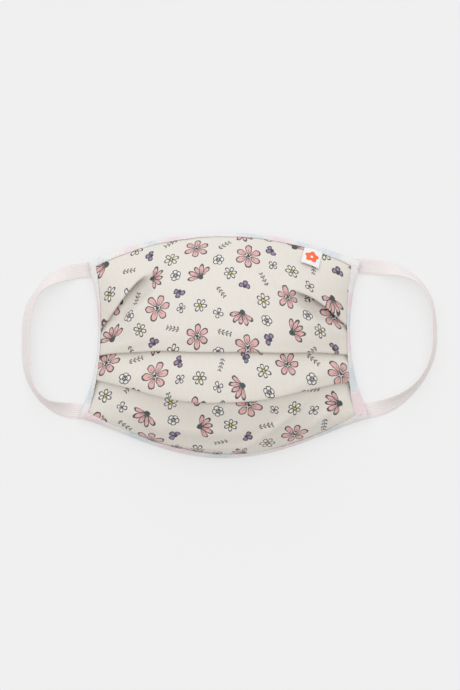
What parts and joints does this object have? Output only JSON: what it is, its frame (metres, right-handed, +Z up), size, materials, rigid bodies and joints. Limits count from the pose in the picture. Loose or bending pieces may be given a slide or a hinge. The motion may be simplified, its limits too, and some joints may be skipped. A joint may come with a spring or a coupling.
{
  "type": "pleated cloth face mask",
  "caption": "Pleated cloth face mask lying dome up: a domed hollow panel with bound edges, flat knitted ear loops laid out at both sides and a small blank tab.",
  "frame": {"origin": "on the surface that the mask lies on, under the middle of its outline", "axes": "+Z up, out of the dome; +X across the mask from its left ear loop to its right one as seen from above; +Y towards the top edge"},
  "size_m": [0.2494, 0.1374, 0.0367],
  "materials": {
    "panel_cloth": "plain weave cotton with a small flower print",
    "binding_tape": "soft pastel tie-dyed cotton tape",
    "loop_knit": "matt ribbed knit",
    "label_satin": "smooth woven label"
  },
  "bodies": {
    "root": {"face_panel": "panel_cloth", "top_binding": "binding_tape", "bottom_binding": "binding_tape", "left_binding": "binding_tape", "right_binding": "binding_tape", "left_ear_loop": "loop_knit", "right_ear_loop": "loop_knit", "label_tab": "label_satin"}
  },
  "joints": []
}
